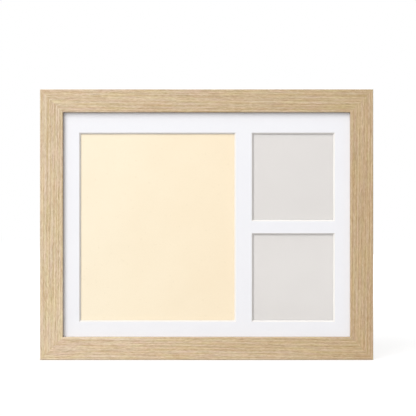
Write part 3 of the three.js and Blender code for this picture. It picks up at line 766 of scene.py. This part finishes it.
def ridged_shank(length):
    """The points of a screw's shank, from its tip up to the head's seat at 0."""
    points = [(0, -length)]
    for ridge in range(int((length - SCREW_POINT) / THREAD_PITCH)):
        height = -length + SCREW_POINT + ridge * THREAD_PITCH
        points.append((SCREW_SHANK_RADIUS - THREAD_DEPTH, height))
        points.append((SCREW_SHANK_RADIUS, height + THREAD_PITCH / 2))
    points.append((SCREW_SHANK_RADIUS - THREAD_DEPTH, 0))
    return points


def sink_cross(bm):
    """Closes a screw head's open top round a cross recess, and sinks the recess."""
    rim = [e for e in bm.edges if e.is_boundary]
    cross = [bm.verts.new((x, SCREW_HEAD_HEIGHT, z)) for x, z in cross_corners()]
    edges = [bm.edges.new((cross[i - 1], cross[i])) for i in range(len(cross))]
    bmesh.ops.triangle_fill(bm, edges=rim + edges, use_beauty=True, normal=(0, 1, 0))
    made = bmesh.ops.extrude_edge_only(bm, edges=edges)
    bottom = parts_of(made, bmesh.types.BMVert)
    bmesh.ops.translate(bm, verts=bottom, vec=(0, -RECESS_DEPTH, 0))
    bmesh.ops.scale(bm, verts=bottom, vec=(RECESS_TAPER, 1, RECESS_TAPER))
    bmesh.ops.edgeloop_fill(bm, edges=parts_of(made, bmesh.types.BMEdge))
    bmesh.ops.recalc_face_normals(bm, faces=bm.faces)


def pan_head_screw(radius, length):
    """A pan head with a cross recess on a ridged shank, along Y from the head's seat at 0."""
    head = dome(radius, SCREW_HEAD_HEIGHT, flat=radius * SCREW_HEAD_FLAT)
    bm = lathe(ridged_shank(length) + head)
    sink_cross(bm)
    return bm


def pin_sizes(node, head_height):
    """Where the underside of a pin's head lies, the head's radius and the shank's length."""
    low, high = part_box(node)
    seat = centre_of(node)
    seat.y = high.y - head_height
    return seat, (high.x - low.x) / 2, seat.y - low.y


def add_screw(node, steel):
    seat, radius, length = pin_sizes(node, SCREW_HEAD_HEIGHT)
    bm = pan_head_screw(radius, length)
    bmesh.ops.translate(bm, verts=bm.verts, vec=seat)
    add_piece(f"pan_{node}", bm, node, "steel", steel)


def add_headed_pin(node, head_height, shank_radius, slot, finish, point=0.0):
    """A rivet or a nail: a domed head on a plain shank, with a point if it has one."""
    seat, radius, length = pin_sizes(node, head_height)
    shank = [(0, -length), (shank_radius, -length + point), (shank_radius, 0)]
    bm = lathe(shank + dome(radius, head_height))
    bmesh.ops.translate(bm, verts=bm.verts, vec=seat)
    add_piece(f"round_{node}", bm, node, slot, finish)


def add_button(where, pivot, steel):
    """A turn button on its joint's pivot, turned as its node lies, and its screw."""
    node = f"turn_button_{where}"
    low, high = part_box(node)
    size = high - low
    tail_radius = min(size.x, size.z) / 2
    bm = turn_button(max(size.x, size.z) - tail_radius, tail_radius, size.y)
    way = centre_of(node) - pivot
    turn = Matrix.Rotation(-math.atan2(way.z, way.x), 3, "Y")
    bmesh.ops.rotate(bm, verts=bm.verts, cent=(0, 0, 0), matrix=turn)
    bmesh.ops.translate(bm, verts=bm.verts, vec=(pivot.x, low.y, pivot.z))
    add_piece(f"back_button_{where}", bm, node, "steel", steel)
    add_screw(f"button_screw_{where}", steel)


def add_buttons(steel):
    for joint in frame["joints"]:
        if joint["name"].startswith(BUTTON_JOINT):
            add_button(joint["name"].removeprefix(BUTTON_JOINT), Vector(joint["pos_m"]), steel)


def add_hinge(steel):
    for side in ("fixed", "moving"):
        node = f"hinge_leaf_{side}"
        add_piece(f"{side}_leaf", merged_copy(node), node, "steel", steel, ease=SHEET_EDGE)
        for end in ("left", "right"):
            rivet = f"{side}_leaf_rivet_{end}"
            add_headed_pin(rivet, RIVET_HEAD_HEIGHT, RIVET_SHANK_RADIUS, "steel", steel)
    add_piece("knuckle_pin", merged_copy("hinge_pin"), "hinge_pin", "steel", steel, ease=SHEET_EDGE)


def add_hanger(brass):
    sheet = merged_copy("wall_hanger")
    add_piece("sawtooth_hanger", sheet, "wall_hanger", "brassed_steel", brass, ease=SHEET_EDGE)
    for end in ("left", "right"):
        nail = f"hanger_nail_{end}"
        add_headed_pin(nail, NAIL_HEAD_HEIGHT, NAIL_SHANK_RADIUS, "brassed_steel", brass, NAIL_POINT)


# What lies inside


def add_inner_pieces(steel):
    """The V-nails and what lies between the mat and the back panel: the nodes' shapes with eased edges."""
    strips = oak_both_ways("strip", STRIP_TONES, rough=0.7)
    kinds = {
        "v_nail": ("steel", steel, SHEET_EDGE),
        "tile_tape": ("foam_tape", foam("foam_tape", TAPE_WHITE), FOAM_EDGE),
        "photo_filler": ("foam_board", foam("foam_board", FOAM_BOARD_WHITE), FOAM_EDGE),
        "photo_pane": ("clear_sheet", clear_sheet(), SHEET_EDGE),
        "photo_card": ("card_grey", grey_card(), CARD_EDGE),
    }
    for node in frame["nodes"]:
        if node.startswith("spacer"):
            strip = strips[is_upright(node)]
            add_piece(f"eased_{node}", merged_copy(node), node, "spacer_wood", strip, ease=BOARD_EDGE)
        for kind, (slot, finish, ease) in kinds.items():
            if node.startswith(kind):
                add_piece(f"eased_{node}", merged_copy(node), node, slot, finish, ease=ease)


def main():
    bpy.context.scene.view_settings.view_transform = "Standard"
    add_camera()
    add_softbox("key_softbox", KEY_PLACE, KEY_SIZE, KEY_LEVEL, Vector((0, -1, 0)))
    add_softbox("back_softbox", BACK_PLACE, BACK_SIZE, BACK_LEVEL, Vector((0, 1, 0)))
    add_world()
    add_floor()
    steel = plated("zinc_plate", ZINC_TONES, rough=0.3)
    brass = plated("brass_plate", BRASS_TONES, rough=0.28)
    add_rails()
    add_mat()
    add_clay_tile()
    add_boards(hardboard())
    add_buttons(steel)
    add_hinge(steel)
    add_hanger(brass)
    add_inner_pieces(steel)


main()
